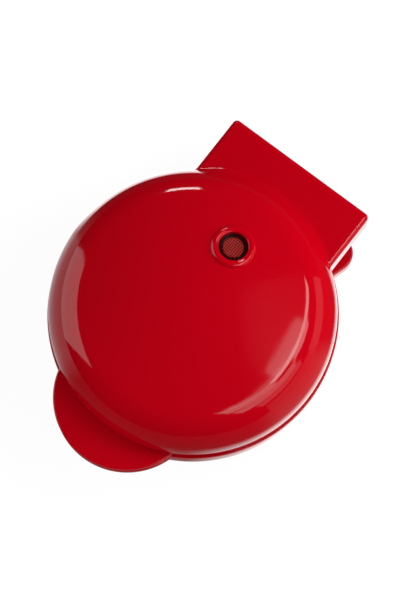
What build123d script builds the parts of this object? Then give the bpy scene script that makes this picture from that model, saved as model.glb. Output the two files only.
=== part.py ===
from build123d import *
from math import asin, atan, cos, degrees, hypot, radians, sin, sqrt, tan
import os

# Mini waffle maker, closed, standing on its four rubber feet.
# Millimetres. X to the right, Y towards the hinge, Z up.
# The origin is on the table, on the common axis of the two round plates.

# Overall form of the base. Most places follow the radius of its rim.
foot_height = 4.2
rim_radius = 63.5
band_height = 7.6
bowl_high_radius = 32.0
bowl_low_radius = 18.4
bowl_split = 40.0
wall = 2.3

# Overall form of the lid
lid_radius = rim_radius - 0.9
skirt_height = 5.0
shoulder_low_radius = 22.9
shoulder_high_radius = 15.9
shoulder_split = 45.0
crown_edge_slope = 12.1
seam_gap = 0.6

# Handle tabs at the front
tab_radius = 32.0
tab_centre = 16.1 - lid_radius
lid_tab_thickness = 2.4
base_tab_drop = 2.4
base_tab_thickness = 4.0
tab_edge = 0.6

# Hinge block at the back of the lid
block_half_width = 36.5
block_back = lid_radius + 15.9
block_height = 14.0
block_front = lid_radius - 38.6
block_corner = 2.2
block_edge = 2.0
block_blend = 3.0

# Rear stand of the base
stand_half_width = 40.9
stand_back = rim_radius + 10.2
stand_front = rim_radius - 27.5
stand_front_half_width = 29.4
stand_height = 7.4
stand_corner = 8.7
stand_edge = 1.6

# Hinge
pin_back = block_back - 8.3
pin_rise = 4.8
pin_radius = 1.5
pin_running_clearance = 0.05
ear_inner = 22.0
ear_width = 8.0
ear_radius = 4.4
ear_front = rim_radius - 13.0
ear_lift = 0.3
boss_radius = 4.2
boss_width = 3.9
side_gap = 0.4
notch_gap = 0.6

# Waffle plates
plate_radius = lid_radius - 10.2
plate_fit = 0.3
plate_gap = 0.3
flange_inner = plate_radius - 3.9
flange_thickness = 2.2
floor_radius = plate_radius - 6.4
floor_depth = 8.0
plate_thickness = 2.4
stud_pitch = 14.0
stud_base = 9.4
stud_tip = 6.6
stud_height = 5.5
stud_field = floor_radius - 1.2
gutter_inner = plate_radius - 2.5
gutter_width = 1.4
gutter_depth = 0.8
support_width = 2.1
support_thickness = 2.0
frame_fit = 0.2
ledge_width = 2.4
ledge_thickness = 2.0

# Heaters
heater_radius = plate_radius - 19.4
heater_tube = 3.2
heater_fit = 0.1
heater_rib_wall = 2.1
heater_gap_angle = 24.0
cold_pin_radius = 1.4
cold_pin_length = 6.0

# Reflectors and what holds them
reflector_radius = plate_radius - 7.4
reflector_sheet = 0.8
reflector_drop = 4.6
reflector_wall = 3.2
reflector_slot_half = 14.0
reflector_slot_front = heater_radius - 7.0
plate_screw_circle = heater_radius - 13.0
reflector_screw_circle = reflector_radius - 4.0
screw_radius = 1.5
screw_head_radius = 2.8
screw_head = 1.8
screw_slack = 0.05
screw_boss_radius = screw_head_radius + 0.6
screw_bite = 6.0
hole_clearance = 0.2

# Screws that hold the two mouldings of the base together
housing_screw_circle = rim_radius - 9.5
housing_screw_seat = 14.0
housing_head_clearance = 0.3
housing_boss_wall = 0.7

# Rubber feet
foot_radius = 6.5
foot_pocket = 1.0
foot_fit = 0.2
front_foot = (25.0, -27.0)
rear_foot = (28.5, stand_back - 10.3)
foot_chamfer = 0.8

# Indicator lamp
lamp_back = lid_radius - 33.7
lens_radius = 4.6
lamp_fit = 0.1
holder_wall = 1.6
collar_wall = 3.3
collar_height = 1.1
lens_thickness = 3.0
lens_recess = 0.9
holder_recess = 1.5
holder_flange_width = 1.7
holder_flange = 1.2
boss_drop = 4.4
bulb_radius = 2.2
bulb_length = 3.6

# Mains inlet in the back of the bowl, for a flat twin lead
inlet_height = 21.0
inlet_half_width = 4.5
inlet_half_height = 2.8
gland_half_width = inlet_half_width + 2.7
gland_half_height = inlet_half_height + 2.6
gland_flange = 1.6
gland_flange_thickness = 1.8
pad_margin = 2.0
pad_back = rim_radius + 0.1
gland_length = 9.0
gland_fit = 0.15

# Inner electrical pieces
thermostat_radius = 8.0
thermostat_height = 6.0
fuse_radius = 2.4
fuse_length = 14.0
terminal_size = (20.0, 9.0, 8.0)
terminal_back = rim_radius - 19.5
wire_radius = 1.0
small_edge = 0.5
sleeve_radius = 2.0
sleeve_offset = 4 * sleeve_radius
sleeve_gap = 0.3
braid_sides = 8

# Heights and radii that follow from these sizes
bowl_depth = (bowl_high_radius * sin(radians(bowl_split))
              + bowl_low_radius * (1 - sin(radians(bowl_split))))
band_bottom = foot_height + bowl_depth
rim_top = band_bottom + band_height
lid_bottom = rim_top + seam_gap
seam = rim_top + seam_gap / 2
block_top = lid_bottom + block_height
pin_height = lid_bottom + pin_rise
ledge_top = seam - plate_gap / 2 - flange_thickness - support_thickness
heater_groove = heater_tube + heater_fit
heater_rib = heater_groove + heater_rib_wall
housing_recess_radius = screw_head_radius + housing_head_clearance
housing_boss_radius = housing_recess_radius + housing_boss_wall
lamp_hole_radius = lens_radius + lamp_fit + holder_wall + lamp_fit
collar_radius = lamp_hole_radius + collar_wall
holder_radius = lamp_hole_radius - lamp_fit
frame_inner = plate_radius + plate_fit
support_inner = plate_radius - support_width
crown_normal = 90 - crown_edge_slope

UP = (Align.CENTER, Align.CENTER, Align.MIN)


def turned(points):
    """Solid of revolution about Z from an outline of radius and height pairs."""
    outline = make_face(Polyline(*points, close=True))
    return revolve(Plane.XZ * outline, Axis.Z)


def post(radius, low, high, x=0.0, y=0.0):
    """Upright cylinder between two heights."""
    return Pos(x, y, low) * Cylinder(radius, high - low, align=UP)


def hexagon(radius, low, high, x, y):
    """Upright six-sided bar, as a screw head, a spacer or a screw boss."""
    return extrude(Pos(x, y, low) * RegularPolygon(radius, 6), high - low)


def across(radius, start, end, y, z):
    """Cylinder along X between two sides."""
    turn = Rot(0, 90, 0)
    return Pos(start, y, z) * turn * Cylinder(radius, end - start, align=UP)


def brick(x_range, y_range, z_range):
    """Box between pairs of sides."""
    spans = [high - low for low, high in (x_range, y_range, z_range)]
    corner = Pos(x_range[0], y_range[0], z_range[0])
    return corner * Box(*spans, align=(Align.MIN, Align.MIN, Align.MIN))


def tube(points, radius):
    """Braided lead or sleeve along straight runs, with a flattened outline."""
    path = Polyline(*points)
    section = Plane(origin=path @ 0, z_dir=path % 0) * RegularPolygon(radius, braid_sides)
    return sweep(section, path=path, transition=Transition.RIGHT)


def on_circle(radius, angles):
    """Points on a circle about the plates' axis."""
    return [(radius * cos(radians(a)), radius * sin(radians(a))) for a in angles]


def mirrored(points):
    """The same places on both sides of the middle plane."""
    return [(side * x, y) for x, y in points for side in (-1, 1)]


def lid_dome(inset):
    """Crowned dome of the lid with its skin moved inwards by inset."""
    low = (lid_radius - shoulder_low_radius, lid_bottom + skirt_height)
    step = shoulder_low_radius - shoulder_high_radius
    split = radians(shoulder_split)
    high = (low[0] + step * cos(split), low[1] + step * sin(split))
    normal = radians(crown_normal)
    crown_radius = high[0] / cos(normal) + shoulder_high_radius
    crown_centre = (0, high[1] - (crown_radius - shoulder_high_radius) * sin(normal))
    skirt = CenterArc(low, shoulder_low_radius - inset, 0, shoulder_split)
    shoulder = CenterArc(high, shoulder_high_radius - inset, shoulder_split,
                         crown_normal - shoulder_split)
    crown = CenterArc(crown_centre, crown_radius - inset, crown_normal, crown_edge_slope)
    closing = Polyline(crown @ 1, (0, lid_bottom), (lid_radius - inset, lid_bottom), skirt @ 0)
    return revolve(Plane.XZ * make_face([skirt, shoulder, crown, closing]), Axis.Z)


def crown_height(radius):
    """Height and outward slope of the crown at a distance from the axis."""
    low_height = lid_bottom + skirt_height
    step = shoulder_low_radius - shoulder_high_radius
    high_radius = lid_radius - shoulder_low_radius + step * cos(radians(shoulder_split))
    high_height = low_height + step * sin(radians(shoulder_split))
    spread = high_radius / cos(radians(crown_normal))
    crown_radius = spread + shoulder_high_radius
    centre = high_height - spread * sin(radians(crown_normal))
    return centre + sqrt(crown_radius ** 2 - radius ** 2), degrees(asin(radius / crown_radius))


def bowl(inset):
    """Bowl of the base with its skin moved inwards by inset."""
    high = (rim_radius - bowl_high_radius, band_bottom)
    step = bowl_high_radius - bowl_low_radius
    split = radians(bowl_split)
    low = (high[0] + step * cos(split), high[1] - step * sin(split))
    upper = CenterArc(high, bowl_high_radius - inset, 0, -bowl_split)
    lower = CenterArc(low, bowl_low_radius - inset, -bowl_split, bowl_split - 90)
    closing = Polyline(lower @ 1, (0, foot_height + inset), (0, rim_top),
                       (rim_radius - inset, rim_top), upper @ 0)
    return revolve(Plane.XZ * make_face([upper, lower, closing]), Axis.Z)


def tab(low, thickness):
    """Rounded handle tab that sticks out at the front."""
    disc = post(tab_radius, low, low + thickness, 0, tab_centre)
    rims = disc.edges().group_by(Axis.Z)
    return chamfer(rims[-1] + rims[0], tab_edge)


def stand(inset):
    """Low rear stand that widens towards the back, on a rounded outline."""
    front = stand_front_half_width - inset
    back = stand_half_width - inset * (1 + tan(radians(15)))
    outline = make_face(Polyline((-front, stand_front), (front, stand_front),
                                 (back, stand_back - inset), (-back, stand_back - inset),
                                 close=True))
    corners = outline.vertices().sort_by(Axis.Y)[-2:]
    outline = fillet(corners, stand_corner - inset)
    solid = extrude(Pos(0, 0, foot_height + inset) * outline, stand_height - 2 * inset)
    return solid


def hinge_block():
    """Box at the back of the lid with rounded corners and upper edges."""
    depth = block_back - block_front
    plan = RectangleRounded(2 * block_half_width, depth, block_corner)
    solid = extrude(Pos(0, block_front + depth / 2, lid_bottom) * plan, block_height)
    return fillet(solid.edges().group_by(Axis.Z)[-1], block_edge)


def lamp_plane():
    """Plane on the crown under the indicator lamp, square to the skin."""
    height, slope = crown_height(lamp_back)
    tilt = radians(slope)
    return Plane(origin=(0, lamp_back, height), x_dir=(1, 0, 0), z_dir=(0, sin(tilt), cos(tilt)))


def lamp_collar():
    """Raised ring and inner sleeve that hold the indicator lamp."""
    lip = collar_height
    outer = collar_radius
    collar = turned([(outer, -wall / 2), (outer, -0.3), (outer - 1.3, 0.35), (outer - 2.2, lip),
                     (lamp_hole_radius, lip), (lamp_hole_radius, -boss_drop),
                     (outer - 1.3, -boss_drop), (outer - 1.3, -wall / 2)])
    return lamp_plane() * collar


def hinge_boss(side, start):
    """Lug inside the hinge block, hanging from its roof, that turns on the pin."""
    low = start if side > 0 else -start - boss_width
    high = low + boss_width
    lug = across(boss_radius, low, high, pin_back, pin_height)
    roof = block_top - wall / 2
    rib = brick((low, high), (pin_back - boss_radius, pin_back + boss_radius), (pin_height, roof))
    return lug + rib


def make_lid_housing():
    outside = lid_dome(0) + hinge_block() + tab(lid_bottom, lid_tab_thickness)
    joint = [edge for edge in outside.edges()
             if edge.geom_type == GeomType.CIRCLE and edge.radius > tab_radius + 5
             and abs(edge.center().Z - block_top) < 0.01]
    outside = fillet(joint, block_blend)
    inner_width = block_half_width - wall
    inside = lid_dome(wall) + brick((-inner_width, inner_width), (block_front, block_back - wall),
                                    (lid_bottom, block_top - wall))
    shell = outside - inside
    shell += lamp_collar()
    shell -= lamp_plane() * post(lamp_hole_radius, -2 * boss_drop, collar_height + wall)
    for side in (-1, 1):
        shell += hinge_boss(side, ear_inner - side_gap - boss_width)
        shell += hinge_boss(side, ear_inner + ear_width + side_gap)
    reach = block_half_width - wall - 0.5
    shell -= across(pin_radius + pin_running_clearance, -reach, reach, pin_back, pin_height)
    for x, y in on_circle(reflector_screw_circle, screw_angles):
        top = crown_height(reflector_screw_circle)[0] - wall / 2
        hole = post(screw_radius, upper_reflector_back, upper_reflector_back + screw_bite, x, y)
        shell += hexagon(screw_boss_radius, upper_reflector_back, top, x, y)
        shell -= hole
    low = lid_bottom + frame_height
    inner = lid_radius - wall
    ledge = turned([(inner - ledge_width, low), (inner + wall / 2, low),
                    (inner + wall / 2, low + ledge_thickness),
                    (inner - ledge_width, low + ledge_thickness)])
    clear = block_half_width - wall
    ledge -= brick((-clear, clear), (0, block_back), (lid_bottom, block_top))
    return shell + ledge


def make_base_housing():
    low = rim_top - base_tab_drop - base_tab_thickness
    outside = bowl(0) + tab(low, base_tab_thickness)
    pad = extrude(inlet_outline(gland_half_width + pad_margin, gland_half_height + pad_margin),
                  -pad_back)
    outside += pad - extrude(inlet_outline(rim_radius, rim_radius), -stand_front)
    foot = stand(0)
    foot = chamfer(foot.edges().group_by(Axis.Z)[-1], stand_edge)
    shell = outside + foot - bowl(wall) - stand(wall)
    inner = rim_radius - wall
    ledge = turned([(inner - ledge_width, ledge_top - ledge_thickness),
                    (inner + wall / 2, ledge_top - ledge_thickness),
                    (inner + wall / 2, ledge_top), (inner - ledge_width, ledge_top)])
    shell += ledge
    for x, y in housing_screw_places:
        column = hexagon(housing_boss_radius, foot_height, ledge_top, x, y) & bowl(wall / 2)
        shell += column
        shell -= post(housing_recess_radius, 0, housing_screw_seat, x, y)
        shell -= post(screw_radius + hole_clearance, 0, ledge_top, x, y)
    for x, y in on_circle(reflector_screw_circle, screw_angles):
        shell += hexagon(screw_boss_radius, foot_height + wall / 2, lower_reflector_back, x, y)
        shell -= post(screw_radius, lower_reflector_back - screw_bite, lower_reflector_back, x, y)
    for x, y in foot_places:
        shell -= post(foot_radius + foot_fit, 0, foot_height + foot_pocket, x, y)
    opening = inlet_outline(gland_half_width - gland_flange + gland_fit,
                            gland_half_height - gland_flange + gland_fit)
    return shell - extrude(opening, -pad_back - 1)


def ring_profile(near, far, support):
    """Frame outline from its face near the seam to its seat, with a step for the flange."""
    outer = rim_radius - wall - frame_fit if near > far and near < seam else \
        lid_radius - wall - frame_fit
    return turned([(frame_inner, near), (outer, near), (outer, far),
                   (support_inner, far), (support_inner, support), (frame_inner, support)])


def ear(side):
    """Hinge ear that rises from the frame and ends in a round knuckle."""
    low = ear_inner if side > 0 else -ear_inner - ear_width
    high = low + ear_width
    knuckle = across(ear_radius, low, high, pin_back, pin_height)
    underside = rim_top + ear_lift
    outline = Polyline((ear_front, rim_top - frame_height / 2), (ear_front, rim_top + 1.5),
                       (ear_front + 6.0, pin_height + 1.0), (pin_back - 1.0, pin_height + ear_radius),
                       (pin_back - 1.0, pin_height - ear_radius), (rim_radius - 4.0, underside),
                       (ear_front + 5.0, underside), (ear_front + 5.0, rim_top - frame_height / 2),
                       close=True)
    arm = extrude(Plane.YZ * make_face(outline), high - low)
    return knuckle + Pos(low, 0, 0) * arm


def make_base_frame():
    frame = ring_profile(rim_top, ledge_top, ledge_top + support_thickness)
    for side in (-1, 1):
        frame += ear(side)
    outer = rim_radius - wall - frame_fit
    frame -= turned([(outer, ledge_top - 1), (rim_radius + 1, ledge_top - 1),
                     (rim_radius + 1, rim_top + ear_lift), (outer, rim_top + ear_lift)])
    reach = ear_inner + ear_width + 1
    frame -= across(pin_radius, -reach, reach, pin_back, pin_height)
    for x, y in housing_screw_places:
        frame -= post(screw_radius, ledge_top - 1, rim_top - 1.2, x, y)
    frame -= post(sleeve_radius + hole_clearance, 0, rim_top + 1, -sleeve_offset, sleeve_front)
    return frame


def make_lid_frame():
    far = lid_bottom + frame_height
    frame = ring_profile(lid_bottom, far, far - support_thickness)
    for side in (-1, 1):
        middle = side * (ear_inner + ear_width / 2)
        half = ear_width / 2 + notch_gap
        frame -= brick((middle - half, middle + half), (ear_front - notch_gap, block_back),
                       (lid_bottom - 1, block_top))
    half = sleeve_radius + notch_gap
    frame -= brick((-sleeve_offset - half, -sleeve_offset + half),
                   (sleeve_front - half, block_back), (lid_bottom - 1, block_top))
    return frame


def heater_ring(half_width, level, gap_angle):
    """Ring with the pressed, eight-sided section of the heater's sheath."""
    flat = half_width * tan(radians(22.5))
    corners = [(half_width, flat), (flat, half_width), (-flat, half_width), (-half_width, flat)]
    corners += [(-u, -v) for u, v in corners]
    outline = make_face(Polyline(*[(heater_radius + u, level + v) for u, v in corners],
                                 close=True))
    ring = revolve(Plane.XZ * outline, Axis.Z, revolution_arc=360 - gap_angle)
    return Rot(0, 0, 90 + gap_angle / 2) * ring


def waffle_plate():
    """Cast plate of the base: tapered studs, raised flange with gutter, ribbed back."""
    top = seam - plate_gap / 2
    floor = seam - floor_depth
    back = floor - plate_thickness
    dish = turned([(0, back), (floor_radius + plate_thickness, back),
                   (flange_inner + plate_thickness - 0.8, top - flange_thickness),
                   (plate_radius, top - flange_thickness), (plate_radius, top),
                   (gutter_inner + gutter_width, top),
                   (gutter_inner + gutter_width, top - gutter_depth),
                   (gutter_inner, top - gutter_depth), (gutter_inner, top),
                   (flange_inner, top), (floor_radius, floor), (0, floor)])
    rib = turned([(heater_radius - heater_rib, back - heater_groove),
                  (heater_radius + heater_rib, back - heater_groove),
                  (heater_radius + heater_rib, back), (heater_radius - heater_rib, back)])
    groove = heater_ring(heater_groove, back - heater_groove, 0)
    taper = degrees(atan((stud_base - stud_tip) / 2 / stud_height))
    stud = extrude(Rectangle(stud_base, stud_base), stud_height, taper=taper)
    count = 2 * int(stud_field / stud_pitch) + 1
    corner = stud_base / 2
    places = [(x, y) for x, y in ((p.position.X, p.position.Y)
                                  for p in GridLocations(stud_pitch, stud_pitch, count, count))
              if hypot(max(abs(x) - corner, 0), max(abs(y) - corner, 0)) < stud_field - 2]
    studs = [Pos(x, y, floor) * stud for x, y in places]
    field = Part() + studs
    field &= post(stud_field, floor, top)
    plate = dish + (rib - groove) + field
    for x, y in on_circle(plate_screw_circle, screw_angles):
        plate += hexagon(screw_boss_radius, back - heater_groove, back, x, y)
    return plate


def heater_element():
    """Sheathed ring heater of the base with a cold pin turned down at each end."""
    level = seam - floor_depth - plate_thickness - heater_groove
    x = heater_radius * sin(radians(heater_gap_angle / 2) + heater_tube / heater_radius)
    y = sqrt(heater_radius ** 2 - x ** 2)
    element = heater_ring(heater_tube, level, heater_gap_angle)
    for side in (-1, 1):
        element += post(cold_pin_radius, level - cold_pin_length, level, side * x, y)
    return element


def reflector():
    """Pressed sheet dish below the heater of the base, notched for the cold pins."""
    floor = lower_reflector_back
    edge = floor + reflector_wall + reflector_sheet
    dish = turned([(0, floor), (reflector_radius, floor), (reflector_radius, edge),
                   (reflector_radius - reflector_sheet, edge),
                   (reflector_radius - reflector_sheet, floor + reflector_sheet),
                   (0, floor + reflector_sheet)])
    dish -= brick((-reflector_slot_half, reflector_slot_half),
                  (reflector_slot_front, reflector_radius + 1), (floor - 1, edge + 1))
    for x, y in on_circle(reflector_screw_circle, screw_angles):
        dish -= post(screw_radius + hole_clearance, floor - 1, edge, x, y)
    return dish


def screw(seat, tip, x, y):
    """Hex-head screw from its seat to its tip, upwards or downwards."""
    low, high = (seat - screw_head, seat) if tip > seat else (seat, seat + screw_head)
    shank = post(screw_radius - screw_slack, min(seat, tip), max(seat, tip), x, y)
    return hexagon(screw_head_radius, low, high, x, y) + shank


def plate_screws():
    """Hex spacers between the reflector of the base and the plate, with their screw heads."""
    back = seam - floor_depth - plate_thickness - heater_groove
    low = lower_reflector_back
    top = low + reflector_sheet
    places = on_circle(plate_screw_circle, screw_angles)
    spacers = [hexagon(screw_boss_radius, top, back, x, y) for x, y in places]
    heads = [hexagon(screw_head_radius, low - screw_head, low, x, y) for x, y in places]
    return Compound(spacers + heads)


def reflector_screws():
    """Screws that fix the reflector of the base to the bosses of the housing."""
    seat = lower_reflector_back + reflector_sheet
    tip = lower_reflector_back - screw_bite + 0.5
    return Compound([screw(seat, tip, x, y)
                     for x, y in on_circle(reflector_screw_circle, screw_angles)])


def flipped(shape):
    """The lid's own copy of a piece of the base, mirrored about the seam."""
    return mirror(shape, about=Plane.XY.offset(seam))


def make_rubber_foot(x, y):
    foot = post(foot_radius, 0, foot_height + foot_pocket, x, y)
    return chamfer(foot.edges().group_by(Axis.Z)[0], foot_chamfer)


def make_housing_screws():
    return Compound([screw(housing_screw_seat, rim_top - 1.6, x, y)
                     for x, y in housing_screw_places])


def make_hinge_pin(side):
    low = ear_inner - side_gap - boss_width + 0.3
    high = ear_inner + ear_width + side_gap + boss_width - 0.9
    start, end = (low, high) if side > 0 else (-high, -low)
    return across(pin_radius, start, end, pin_back, pin_height)


def inlet_outline(half_width, half_height):
    """Rounded outline around the mains inlet, on the middle plane across the object."""
    corner = 0.45 * min(half_width, half_height)
    middle = Plane(origin=(0, 0, inlet_height), x_dir=(1, 0, 0), z_dir=(0, -1, 0))
    return middle * RectangleRounded(2 * half_width, 2 * half_height, corner)


def make_cord_gland():
    """Bushing with a flange outside and a neck through the wall of the bowl."""
    face = pad_back + gland_flange_thickness
    behind = extrude(inlet_outline(rim_radius, rim_radius), -pad_back)
    flange = extrude(inlet_outline(gland_half_width, gland_half_height), -face) - behind
    rounded = flange.edges().group_by(Axis.Y)[-1]
    flange = chamfer(rounded, small_edge)
    neck = extrude(inlet_outline(gland_half_width - gland_flange,
                                 gland_half_height - gland_flange), -pad_back)
    neck -= extrude(inlet_outline(rim_radius, rim_radius), gland_length - pad_back)
    bore = extrude(inlet_outline(inlet_half_width, inlet_half_height), -face - 1)
    return flange + neck - bore


def make_thermostat():
    back = seam + floor_depth + plate_thickness
    disc = post(thermostat_radius, back, back + thermostat_height)
    return chamfer(disc.edges().group_by(Axis.Z)[-1], small_edge)


def make_thermal_fuse():
    level = lower_reflector_back - fuse_radius
    return across(fuse_radius, -fuse_length / 2, fuse_length / 2, fuse_back, level)


def make_terminal_block():
    length, depth, height = terminal_size
    floor = foot_height + wall
    return brick((-length / 2, length / 2), (terminal_back - depth, terminal_back),
                 (floor, floor + height))


def make_base_wires():
    """Leads from the terminal block to the two cold pins of the heater."""
    level = seam - floor_depth - plate_thickness - heater_groove - cold_pin_length
    x = heater_radius * sin(radians(heater_gap_angle / 2) + heater_tube / heater_radius)
    y = sqrt(heater_radius ** 2 - x ** 2)
    length, depth, height = terminal_size
    top = foot_height + wall + height
    near = terminal_back - depth
    wires = []
    for side in (-1, 1):
        end = side * length / 4
        wires.append(tube([(side * x, y, level - 0.1), (side * x, y, level - 4.0),
                           (end, near + 0.8, top + 3.4), (end, near + 0.8, top + 0.1)],
                          wire_radius))
    return Compound(wires)


def make_wire_sleeve(side):
    """Half of the sleeve that carries the lid's leads along the hinge axis."""
    start = side * sleeve_gap / 2
    turn = side * sleeve_offset
    if side < 0:
        points = [(start, pin_back, pin_height), (turn, pin_back, pin_height),
                  (turn, sleeve_front, pin_height), (turn, sleeve_front, ledge_top - 2.0)]
    else:
        points = [(start, pin_back, pin_height), (turn, pin_back, pin_height),
                  (turn, sleeve_front, pin_height + 2.0), (turn, plate_radius - 4.0, lid_wire_level)]
    return tube(points, sleeve_radius)


def make_lamp_holder():
    top = -holder_recess
    seat = -boss_drop
    sleeve = post(holder_radius, seat - holder_flange, top)
    flange = post(holder_radius + holder_flange_width, seat - holder_flange, seat)
    bore = post(lens_radius + lamp_fit, -holder_recess - lens_thickness, top + 1)
    back = post(bulb_radius + lamp_fit, seat - holder_flange - 1, top)
    return lamp_plane() * (sleeve + flange - bore - back)


def make_indicator_lens():
    top = -lens_recess
    lens = post(lens_radius, -holder_recess - lens_thickness, top)
    return lamp_plane() * chamfer(lens.edges().group_by(Axis.Z)[-1], small_edge)


def make_indicator_bulb():
    top = -holder_recess - lens_thickness
    return lamp_plane() * post(bulb_radius, top - bulb_length, top)


# Places that several pieces share
screw_angles = (30, 150, 270)
frame_height = rim_top - ledge_top
lower_reflector_back = (seam - floor_depth - plate_thickness - heater_groove
                        - reflector_drop - reflector_sheet)
upper_reflector_back = 2 * seam - lower_reflector_back
housing_screw_places = on_circle(housing_screw_circle, (45, 135, 225, 315))
foot_places = mirrored([front_foot, rear_foot])
sleeve_front = frame_inner + sleeve_radius + 0.6
lid_wire_level = seam + floor_depth + plate_thickness + 6.0
fuse_back = heater_radius - 9.0

nodes = {
    "base_housing": make_base_housing,
    "base_frame": make_base_frame,
    "lower_plate": waffle_plate,
    "lower_heater": heater_element,
    "lower_reflector": reflector,
    "lower_plate_screws": plate_screws,
    "lower_reflector_screws": reflector_screws,
    "housing_screws": make_housing_screws,
    "hinge_pin_left": lambda: make_hinge_pin(-1),
    "hinge_pin_right": lambda: make_hinge_pin(1),
    "cord_gland": make_cord_gland,
    "thermal_fuse": make_thermal_fuse,
    "terminal_block": make_terminal_block,
    "base_wires": make_base_wires,
    "wire_sleeve_base": lambda: make_wire_sleeve(-1),
    "foot_front_left": lambda: make_rubber_foot(-front_foot[0], front_foot[1]),
    "foot_front_right": lambda: make_rubber_foot(*front_foot),
    "foot_rear_left": lambda: make_rubber_foot(-rear_foot[0], rear_foot[1]),
    "foot_rear_right": lambda: make_rubber_foot(*rear_foot),
    "lid_housing": make_lid_housing,
    "lid_frame": make_lid_frame,
    "upper_plate": lambda: flipped(waffle_plate()),
    "upper_heater": lambda: flipped(heater_element()),
    "upper_reflector": lambda: flipped(reflector()),
    "upper_plate_screws": lambda: flipped(plate_screws()),
    "upper_reflector_screws": lambda: flipped(reflector_screws()),
    "thermostat": make_thermostat,
    "wire_sleeve_lid": lambda: make_wire_sleeve(1),
    "lamp_holder": make_lamp_holder,
    "indicator_lens": make_indicator_lens,
    "indicator_bulb": make_indicator_bulb,
}

if __name__ == "__main__":
    os.makedirs("parts", exist_ok=True)
    for name, make in nodes.items():
        export_step(make(), "parts/" + name + ".step")
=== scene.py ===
from math import acos, asin, atan2, cos, hypot, pi, radians, sin, sqrt

import bmesh
import bpy
import numpy as np
from mathutils import Matrix, Vector


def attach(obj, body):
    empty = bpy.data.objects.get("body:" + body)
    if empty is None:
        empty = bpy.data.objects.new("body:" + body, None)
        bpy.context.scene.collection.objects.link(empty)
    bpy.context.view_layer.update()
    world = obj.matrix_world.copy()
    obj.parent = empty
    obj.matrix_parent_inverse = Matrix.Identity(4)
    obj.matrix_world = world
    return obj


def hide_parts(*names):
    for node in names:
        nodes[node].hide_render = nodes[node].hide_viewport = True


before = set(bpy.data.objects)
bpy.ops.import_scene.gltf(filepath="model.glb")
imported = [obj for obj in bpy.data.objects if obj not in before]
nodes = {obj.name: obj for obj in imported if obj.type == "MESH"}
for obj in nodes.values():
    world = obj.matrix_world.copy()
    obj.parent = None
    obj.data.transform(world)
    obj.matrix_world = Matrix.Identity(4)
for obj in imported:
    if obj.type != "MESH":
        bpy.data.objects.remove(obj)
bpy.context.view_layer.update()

# The camera looks down on the closed waffle maker from the front right, a metre
# away and a little off the vertical, with its film turned a few degrees.
# Sizes are in millimetres until a mesh is finished, and lamps are placed in metres.
mm = 0.001
lid_bottom = 39.542
view_distance = 1000.0
view_tilt = radians(12.257)
view_turn = radians(41.46)
film_roll = radians(-3.947)
focal_pixels = 2299.6
image_width, image_height = 401, 601
aim_column, aim_row = 192.97, 313.37
sensor = 36.0

back = Vector((sin(view_tilt) * sin(view_turn), -sin(view_tilt) * cos(view_turn), cos(view_tilt)))
level_right = Vector((0, 0, 1)).cross(back).normalized()
level_up = back.cross(level_right)
film_right = level_right * cos(film_roll) + level_up * sin(film_roll)
film_up = level_up * cos(film_roll) - level_right * sin(film_roll)
aside = (aim_column - image_width / 2) / focal_pixels * view_distance
above = -(aim_row - image_height / 2) / focal_pixels * view_distance
eye = (Vector((0, 0, lid_bottom)) + view_distance * back - aside * film_right
       - above * film_up) * mm
lens_data = bpy.data.cameras.new("camera")
lens_data.lens = focal_pixels * sensor / image_height
lens_data.sensor_width = sensor
lens_data.clip_start = 0.01
camera = bpy.data.objects.new("camera", lens_data)
film = Matrix((film_right, film_up, back)).transposed().to_4x4()
camera.matrix_world = Matrix.Translation(eye) @ film
bpy.context.scene.collection.objects.link(camera)
bpy.context.scene.camera = camera
bpy.context.scene.view_settings.view_transform = "Standard"


# White paper on a table fills the frame and takes a faint shadow. A key lamp and a
# side lamp at the right and a spot on the tabs light the object without a gloss. The
# gloss shows the other boxes, and paper whose brightness changes with the bearing.
def piece(name, mesh):
    thing = bpy.data.objects.new(name, mesh)
    bpy.context.scene.collection.objects.link(thing)
    return thing


def finished(name, shape, finish=None, sharp=35.0):
    """Makes a smooth-shaded object of a mesh that was built in millimetres."""
    bmesh.ops.scale(shape, vec=(mm, mm, mm), verts=shape.verts)
    for face in shape.faces:
        face.smooth = True
    mesh = bpy.data.meshes.new(name)
    shape.to_mesh(mesh)
    shape.free()
    mesh.set_sharp_from_angle(angle=radians(sharp))
    if finish:
        mesh.materials.append(finish)
    return piece(name, mesh)


def new_material(name):
    material = bpy.data.materials.new(name)
    material.use_nodes = True
    return material, material.node_tree.nodes["Principled BSDF"], material.node_tree


def add_node(tree, kind, **settings):
    """New shader node, with its named sockets and its settings filled in."""
    made = tree.nodes.new(kind)
    for key, value in settings.items():
        socket = made.inputs.get(key.replace("_", " "))
        if socket is None:
            setattr(made, key, value)
        else:
            socket.default_value = value
    return made


table_half = 2000.0
shape = bmesh.new()
bmesh.ops.create_grid(shape, x_segments=1, y_segments=1, size=table_half)
paper, paper_shader, tree = new_material("table_paper")
paper_shader.inputs["Base Color"].default_value = (0.85, 0.85, 0.85, 1)
paper_shader.inputs["Roughness"].default_value = 0.9
paper_shader.inputs["Specular IOR Level"].default_value = 0.1
seen_white = add_node(tree, "ShaderNodeEmission", Color=(1, 1, 1, 1), Strength=1.06)
seen = add_node(tree, "ShaderNodeMixShader", Fac=0.88)
ray = add_node(tree, "ShaderNodeLightPath")
choose = add_node(tree, "ShaderNodeMixShader")
tree.links.new(paper_shader.outputs["BSDF"], seen.inputs[1])
tree.links.new(seen_white.outputs["Emission"], seen.inputs[2])
tree.links.new(ray.outputs["Is Camera Ray"], choose.inputs["Fac"])
place = add_node(tree, "ShaderNodeTexCoord")
aside_and_back = add_node(tree, "ShaderNodeSeparateXYZ")
bearing = add_node(tree, "ShaderNodeMath", operation="ARCTAN2")
round_table = add_node(tree, "ShaderNodeMapRange", From_Min=-pi, From_Max=pi)
tree.links.new(place.outputs["Object"], aside_and_back.inputs["Vector"])
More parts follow.
